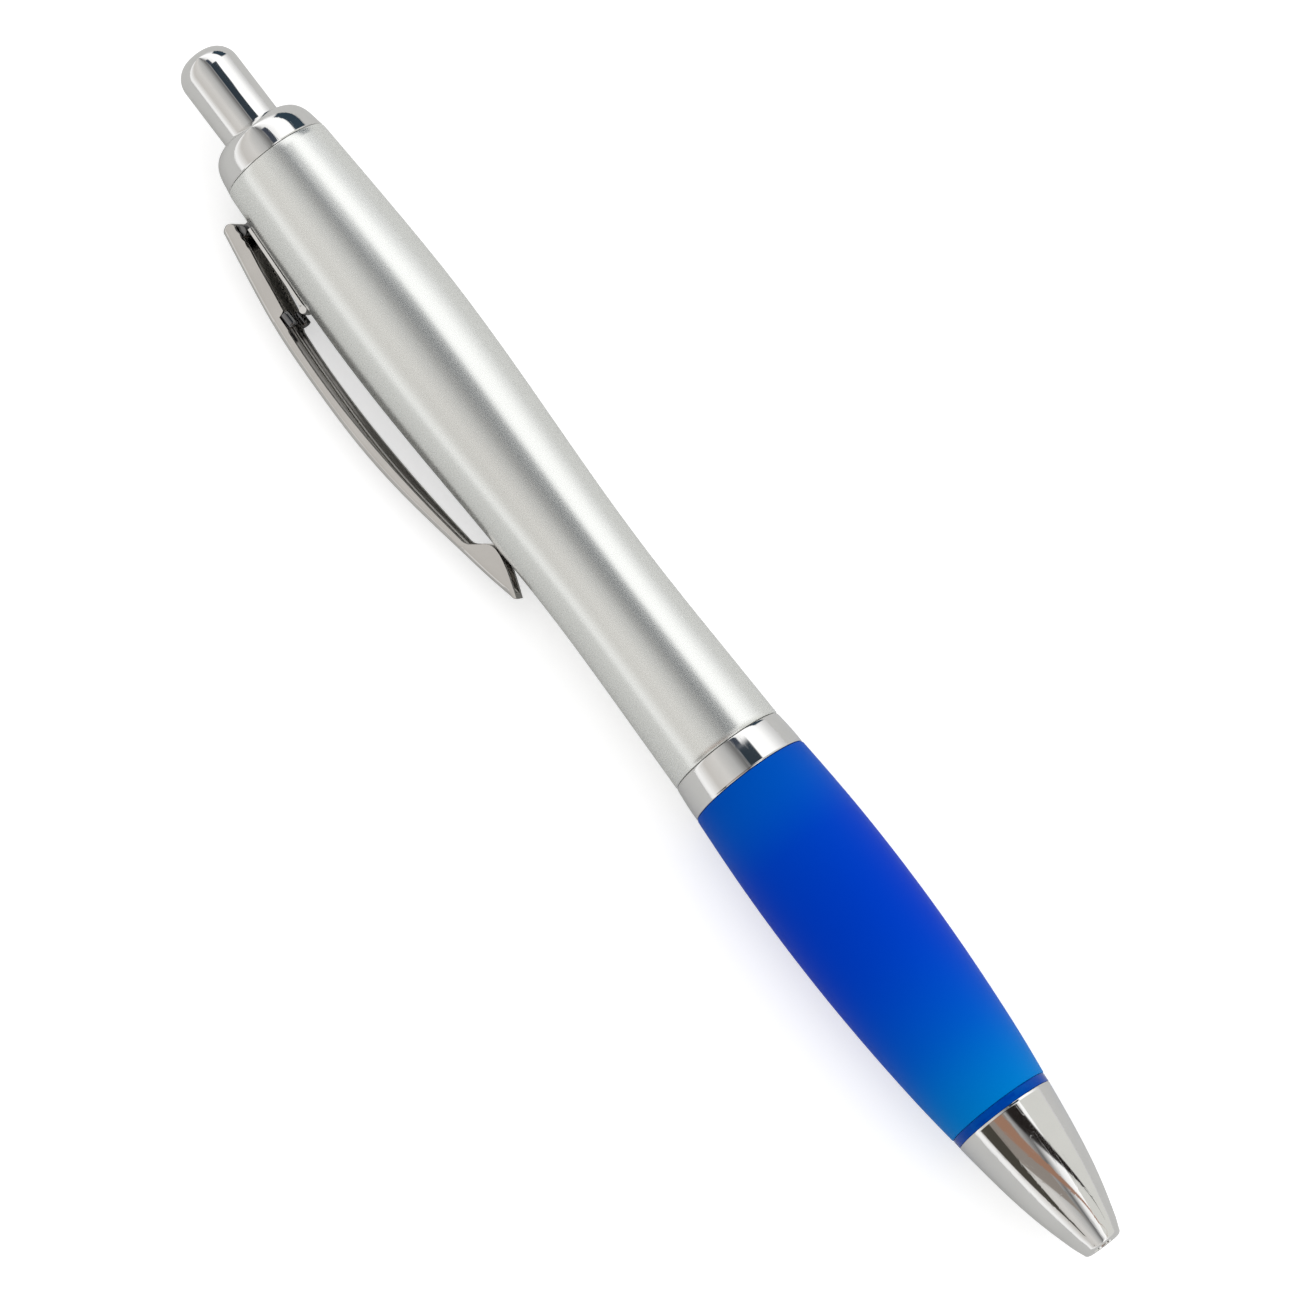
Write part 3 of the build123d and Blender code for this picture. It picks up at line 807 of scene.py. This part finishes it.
def makeSleeve():
    rear, front = rearOf("grip_sleeve"), frontOf("grip_sleeve")
    edge = sleeve["edge"] * mm
    outline = [(rear + x * mm, r * mm) for x, r in sleeve["outline"]]
    outside = smoothCurve(outline, 70)
    inside = [(x, r - sleeve["wall"] * mm) for x, r in outside]
    profile = rearEdge(rear, outside[0][1], edge, 0.01 * mm) + outside[1:-1]
    profile += frontEdge(front, outside[-1][1], edge, 0.02 * mm) + inside[::-1]
    piece = turnedPiece("gripSleeve", profile)
    placePiece(piece, "front_section", frostedBlue, "frosted_blue", "grip_sleeve")


def makeCore():
    rear, front = rearOf("front_core"), frontOf("front_core")
    sleeveRear, sleeveFront = rearOf("grip_sleeve"), frontOf("grip_sleeve")
    noseRear = rearOf("nose_cone")
    outline = [(sleeveRear + x * mm, (r - sleeve["wall"]) * mm) for x, r in sleeve["outline"]]
    threadEnd = rear + core["threadEnd"] * mm
    root, bore = core["root"] * mm, core["bore"] * mm
    lipRear, lipFront = (r * mm for r in core["lip"])
    profile = [(rear, bore), (rear, root - 0.3 * mm), (rear + 0.3 * mm, root - 0.001 * mm)]
    start, stop, fadeLength = (core[k] * mm for k in ("threadStart", "threadStop", "threadFade"))
    steps = 84
    for k in range(steps + 1):
        profile.append((rear + start + (threadEnd - rear - start - stop) * k / steps, root))
    profile += [(threadEnd, core["spigot"] * mm), (sleeveRear, core["spigot"] * mm)]
    profile += smoothCurve(outline, 30)
    profile += [(sleeveFront, lipRear - 0.1 * mm), (sleeveFront + 0.03 * mm, lipRear - 0.03 * mm)]
    profile += [(sleeveFront + 0.1 * mm, lipRear), (noseRear - 0.1 * mm, lipFront)]
    profile += [(noseRear - 0.03 * mm, lipFront - 0.03 * mm), (noseRear, lipFront - 0.1 * mm)]
    profile += [(noseRear, core["nose"] * mm), (front, core["nose"] * mm), (front, bore)]

    def outerThread(x, r, angle):
        if abs(r - root) > 1e-8:
            return 0
        fade = min(1, (x - rear - start) / fadeLength, (threadEnd - stop - x) / fadeLength)
        wave = threadWave(x - rear, angle, barrel["pitch"] * mm, core["threadHalfWidth"])
        return (core["crest"] - core["root"]) * mm * wave * max(0, fade)

    piece = turnedPiece("frontCore", profile, wobble=outerThread)
    placePiece(piece, "front_section", clearBlue, "clear_blue", "front_core")


def makeNose():
    rear, front = rearOf("nose_cone"), frontOf("nose_cone")
    edge = nose["edge"] * mm
    outline = [(rear + x * mm, r * mm) for x, r in nose["outline"]]
    outside = smoothCurve(outline, 48)
    hole, throat, pocket, rim = (nose[k] * mm for k in ("hole", "throat", "pocket", "rim"))
    springSeat = frontOf("spring") + 0.02 * mm
    corePocket = frontOf("front_core") + 0.1 * mm
    profile = rearEdge(rear, outside[0][1], edge, -0.01 * mm) + outside[1:]
    shoulder, first, second = [(front - x * mm, r * mm) for x, r in nose["end"]]
    profile += [shoulder] + arcThrough(first, second, (front, rim), 8)
    profile += [(front, hole + 0.1 * mm), (front - 0.03 * mm, hole + 0.03 * mm), (front - 0.1 * mm, hole)]
    profile += [(front - nose["holeLength"] * mm, hole), (front - nose["throatStart"] * mm, throat)]
    profile += [(springSeat, throat), (springSeat, pocket)]
    profile += [(corePocket, pocket), (corePocket, core["nose"] * mm), (rear, core["nose"] * mm)]
    placePiece(turnedPiece("noseCone", profile), "front_section", chrome, "mirror_chrome", "nose_cone")


makeRing()
makeSleeve()
makeCore()
makeNose()
print("front section made")

# ---- writing point and spring

point = {
    "radius": 1.15, "stem": 0.8, "cone": 3.0, "lip": 0.42, "ball": 0.35, "ballGap": 0.005, "seatDepth": 0.5,
    "groove": 0.06, "grooves": (1.2, 1.6),
    "neck": (0.35, 0.56),
}
coil = {
    "wire": 0.17, "radius": 2.05, "turns": 11, "closed": 1.6, "closedGap": 1.04,
    "perTurn": 36, "around": 10,
}


def makePoint():
    socketFront = frontOf("tip_socket")
    rear, front = rearOf("writing_tip"), frontOf("writing_tip")
    radius, groove = point["radius"] * mm, point["groove"] * mm
    shoulder = socketFront + point["cone"] * mm
    stem, lip = point["stem"] * mm, point["lip"] * mm
    neckBack, neckRadius = point["neck"]
    seat, seatEnd = (point["ball"] + point["ballGap"]) * mm, front - point["seatDepth"] * mm
    profile = [(rear, 0.0), (rear, stem), (socketFront, stem)]
    profile += [(socketFront, radius - groove), (socketFront + groove, radius)]
    for step in point["grooves"]:
        x = socketFront + step * mm
        profile += [(x, radius), (x + groove, radius - groove)]
        profile += [(x + 2 * groove, radius - groove), (x + 3 * groove, radius)]
    profile += [(shoulder - 0.1 * mm, radius), (shoulder, radius - 0.02 * mm)]
    profile += [(shoulder + 0.12 * mm, radius - 0.14 * mm), (front - neckBack * mm, neckRadius * mm)]
    profile += [(front - 0.05 * mm, lip + 0.01 * mm), (front, lip - 0.03 * mm), (front, seat)]
    profile += [(seatEnd, seat), (seatEnd, 0.0)]
    piece = turnedPiece("writingTip", profile, sides=64, closed=False)
    placePiece(piece, "refill", turnedSteel, "tip_steel", "writing_tip")
    low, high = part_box("ball")
    middle, size = (low.x + high.x) / 2, (high.x - low.x) / 2
    profile = []
    for k in range(25):
        turn = math.pi * k / 24
        profile.append((middle - size * math.cos(turn), size * math.sin(turn) if 0 < k < 24 else 0.0))
    piece = turnedPiece("writingBall", profile, sides=48, closed=False)
    placePiece(piece, "refill", turnedSteel, "tip_steel", "ball")


def makeSpring():
    wire, radius = coil["wire"] * mm, coil["radius"] * mm
    start, end = rearOf("spring") + wire, frontOf("spring") - wire
    total = coil["turns"] * coil["perTurn"]
    closed = coil["closed"]
    tight = 2 * wire * coil["closedGap"]

    def heightAt(turn):
        # both ends close up, with open turns between
        openTurns = coil["turns"] - 2 * closed
        pitch = (end - start - 2 * closed * tight) / openTurns
        low = min(turn, closed) * tight
        middle = min(max(turn - closed, 0), openTurns) * pitch
        return start + low + middle + max(turn - closed - openTurns, 0) * tight

    bm = bmesh.new()
    rings = []
    for k in range(total + 1):
        turn = k / coil["perTurn"]
        angle = 2 * math.pi * turn
        nearby = heightAt(min(turn + 0.01, coil["turns"])) - heightAt(max(turn - 0.01, 0))
        radial = (across * math.sin(angle) + outward * math.cos(angle)).normalized()
        tangent = (across * math.cos(angle) - outward * math.sin(angle)) * radius * 0.04 * math.pi
        tangent = (tangent + along * nearby).normalized()
        binormal = tangent.cross(radial)
        centre = penPoint(heightAt(turn), 0, 0) + radial * radius
        loop = []
        for n in range(coil["around"]):
            around = 2 * math.pi * n / coil["around"]
            offset = (radial * math.cos(around) + binormal * math.sin(around)) * wire
            loop.append(bm.verts.new(centre + offset))
        rings.append(loop)
    for a, b in zip(rings, rings[1:]):
        joinRings(bm, a, b)
    bm.faces.new(rings[0])
    bm.faces.new(rings[-1])
    piece = finishMesh(bm, "returnSpring", 50)
    placePiece(piece, "front_section", springSteel, "spring_steel", "spring")
    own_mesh(piece)


makePoint()
makeSpring()
innerFinishes = {
    "cam_guide": whitePlastic,
    "plunger": blackPlastic,
    "cam_rotor": whitePlastic,
    "end_plug": whitePlastic,
    "refill_tube": naturalPlastic,
    "ink_column": inkBlue,
    "tip_socket": turnedBrass,
}
for node, material in innerFinishes.items():
    for materialSlot in frame["nodes"][node].material_slots:
        materialSlot.material = material
print("point, spring and inner pieces made")

# ---- table, studio and camera

studio = {
    "floorSize": 4.0,
    "strength": 1.15,
    "softAcross": 0.5,  # how fast a card's sides and ends come in
    "softAlong": 25.0,
    "sheen": [  # what polished pieces see, in degrees from straight up towards the clip's side
        (-180, (0.50, 0.50, 0.50, 1)),
        (-96, (0.55, 0.55, 0.55, 1)),
        (-80, (0.72, 0.72, 0.72, 1)),
        (-60, (1.06, 1.06, 1.06, 1)),
        (-34, (1.15, 1.15, 1.15, 1)),
        (-14, (0.88, 0.88, 0.88, 1)),
        (0, (0.14, 0.14, 0.14, 1)),
        (16, (0.46, 0.46, 0.455, 1)),
        (40, (0.66, 0.645, 0.625, 1)),
        (64, (0.58, 0.56, 0.535, 1)),
        (84, (0.95, 0.95, 0.95, 1)),
        (96, (0.70, 0.70, 0.70, 1)),
        (180, (0.50, 0.50, 0.51, 1)),
    ],
    "glow": [  # the even light that falls on everything, a little stronger from the far side
        (-180, (1.0, 1.0, 1.0, 1)),
        (-90, (1.45, 1.45, 1.45, 1)),
        (0, (1.15, 1.15, 1.15, 1)),
        (90, (0.56, 0.56, 0.56, 1)),
        (180, (0.9, 0.9, 0.9, 1)),
    ],
}
# cards beside the pen: middle and half width in degrees, then where they reach along it;
# a taper narrows one towards the tip, and a slant turns it round the pen on the way
cards = [
    {"middle": -17.0, "half": 14.0, "from": -0.35, "to": 0.04, "colour": (0.030, 0.042, 0.055, 1)},
    {"middle": -78.0, "half": 18.0, "from": -0.84, "to": -0.34, "colour": (0.03, 0.05, 0.07, 1)},
    {"middle": -9.0, "half": 7.0, "from": -0.78, "to": -0.30, "colour": (0.05, 0.06, 0.08, 1)},
    {"middle": -58.0, "half": 30.0, "from": 0.04, "to": 0.9, "colour": (0.66, 0.66, 0.63, 1)},
    {
        "middle": 50.0, "half": 34.0, "from": 0.04, "to": 0.9,
        "taper": 0.50, "slant": -90.0, "colour": (0.27, 0.24, 0.215, 1),
    },
    {
        "middle": 57.0, "half": 15.0, "from": 0.04, "to": 0.9,
        "taper": 0.60, "slant": -190.0, "colour": (0.33, 0.185, 0.125, 1),
    },
    {
        "middle": 31.0, "half": 27.0, "from": 0.04, "to": 0.9,
        "taper": 0.40, "slant": -250.0, "colour": (0.016, 0.013, 0.012, 1),
    },
    {
        "middle": 66.0, "half": 17.0, "from": 0.04, "to": 0.9,
        "taper": 0.55, "slant": -20.0, "colour": (0.06, 0.055, 0.045, 1),
    },
]


tableFinish = {"Roughness": 0.7, "Emission Strength": 0.5, "Specular IOR Level": 0.1}


def makeFloor():
    # near white to the camera, light grey in the polished pieces
    bm = bmesh.new()
    bmesh.ops.create_grid(bm, x_segments=8, y_segments=8, size=studio["floorSize"] / 2)
    floor = finishMesh(bm, "paleTable")
    material, tree, shader = newMaterial("paleTable", tableFinish)
    rays = addNode(tree, "ShaderNodeLightPath")
    grain = placeGroup(tree, fineGrain, {"Speck per metre": 900.0, "Contrast": 0.4})
    pale = mixColour(tree, grain.outputs["Mask"], (0.68, 0.68, 0.68, 1), (0.70, 0.70, 0.70, 1))
    seen = addNode(tree, "ShaderNodeMix", data_type="RGBA")
    tree.links.new(rays.outputs["Is Glossy Ray"], seen.inputs["Factor"])
    tree.links.new(pale, seen.inputs["A"])
    seen.inputs["B"].default_value = (0.58, 0.58, 0.57, 1)
    tree.links.new(seen.outputs["Result"], shader.inputs["Base Color"])
    lift = mixColour(tree, rays.outputs["Is Camera Ray"], (0.0, 0.0, 0.0, 1), (1.0, 1.0, 1.0, 1))
    tree.links.new(lift, shader.inputs["Emission Color"])
    floor.data.materials.append(material)


def ringRamp(tree, turn, stops):
    # colours laid round the pen's own axis
    ramp = addNode(tree, "ShaderNodeValToRGB")
    marks = ramp.color_ramp.elements
    placed = [((angle + 180) / 360, colour) for angle, colour in stops]
    marks[0].position, marks[0].color = placed[0]
    marks[1].position, marks[1].color = placed[-1]
    for position, colour in placed[1:-1]:
        marks.new(position).color = colour
    share = mathNode(tree, "ADD", mathNode(tree, "DIVIDE", turn, 360.0), 0.5)
    tree.links.new(share, ramp.inputs["Fac"])
    return ramp.outputs["Color"]


def cardMask(tree, turn, forward, card):
    # a long card beside the pen, which may narrow towards the tip or lie slantwise
    half = card["half"]
    if "taper" in card:
        shrink = mathNode(tree, "SUBTRACT", 1.0, mathNode(tree, "DIVIDE", forward, card["taper"]))
        half = mathNode(tree, "MULTIPLY", shrink, card["half"])
    leaned = mathNode(tree, "SUBTRACT", turn, mathNode(tree, "MULTIPLY", forward, card.get("slant", 0.0)))
    away = mathNode(tree, "ABSOLUTE", mathNode(tree, "SUBTRACT", leaned, card["middle"]))
    inside = mathNode(tree, "SUBTRACT", half, away)
    inside = mathNode(tree, "MULTIPLY", inside, studio["softAcross"], clamp=True)
    ends = []
    for far, near in ((forward, card["from"]), (card["to"], forward)):
        room = mathNode(tree, "SUBTRACT", far, near)
        ends.append(mathNode(tree, "MULTIPLY", room, studio["softAlong"], clamp=True))
    return mathNode(tree, "MULTIPLY", inside, mathNode(tree, "MULTIPLY", *ends))


def makeStudio():
    world = bpy.data.worlds.new("softStudio")
    bpy.context.scene.world = world
    world.use_nodes = True
    tree = world.node_tree
    shine = tree.nodes["Background"]
    place = addNode(tree, "ShaderNodeTexCoord")
    split = addNode(tree, "ShaderNodeSeparateXYZ")
    tree.links.new(place.outputs["Generated"], split.inputs["Vector"])
    forward = split.outputs["X"]
    toClip = mathNode(tree, "MULTIPLY", split.outputs["Y"], -1.0)
    turn = mathNode(tree, "DEGREES", mathNode(tree, "ARCTAN2", toClip, split.outputs["Z"]))
    colour = ringRamp(tree, turn, studio["sheen"])
    for card in cards:
        blend = addNode(tree, "ShaderNodeMix", data_type="RGBA")
        tree.links.new(cardMask(tree, turn, forward, card), blend.inputs["Factor"])
        tree.links.new(colour, blend.inputs["A"])
        blend.inputs["B"].default_value = card["colour"]
        colour = blend.outputs["Result"]
    tree.links.new(colour, shine.inputs["Color"])
    shine.inputs["Strength"].default_value = studio["strength"]
    glow = addNode(tree, "ShaderNodeBackground")
    tree.links.new(ringRamp(tree, turn, studio["glow"]), glow.inputs["Color"])
    rays = addNode(tree, "ShaderNodeLightPath")
    choose = addNode(tree, "ShaderNodeMixShader")
    even = mathNode(tree, "MAXIMUM", rays.outputs["Is Camera Ray"], rays.outputs["Is Diffuse Ray"])
    tree.links.new(even, choose.inputs[0])
    tree.links.new(shine.outputs[0], choose.inputs[1])
    tree.links.new(glow.outputs[0], choose.inputs[2])
    tree.links.new(choose.outputs[0], tree.nodes["World Output"].inputs["Surface"])


view = {
    "distance": 0.8, "lens": 240, "toTip": 9.3, "lean": 13.64,
    "right": 0.6063, "down": 0.7952,  # which way the pen points in the picture
    "aim": 0.95, "sensor": 36,
}


def makeCamera():
    camera = bpy.data.objects.new("camera", bpy.data.cameras.new("camera"))
    bpy.context.collection.objects.link(camera)
    camera.data.lens = view["lens"]
    camera.data.sensor_width = view["sensor"]
    camera.data.clip_start, camera.data.clip_end = 0.01, 20
    toTip, lean = math.radians(view["toTip"]), math.radians(view["lean"])
    back = Vector((math.sin(toTip), -math.cos(toTip) * math.sin(lean), math.cos(toTip) * math.cos(lean)))
    seen = (along - back * along.dot(back)).normalized()
    turned = back.cross(seen)
    right = seen * view["right"] + turned * view["down"]
    up = turned * view["right"] - seen * view["down"]
    target = penPoint(view["aim"] * mm, 0, 0)
    turn = Matrix((right, up, back)).transposed().to_4x4()
    camera.matrix_world = Matrix.Translation(target + back * view["distance"]) @ turn
    bpy.context.scene.camera = camera


makeFloor()
makeStudio()
makeCamera()
bpy.context.scene.view_settings.view_transform = "Standard"
print("studio made")
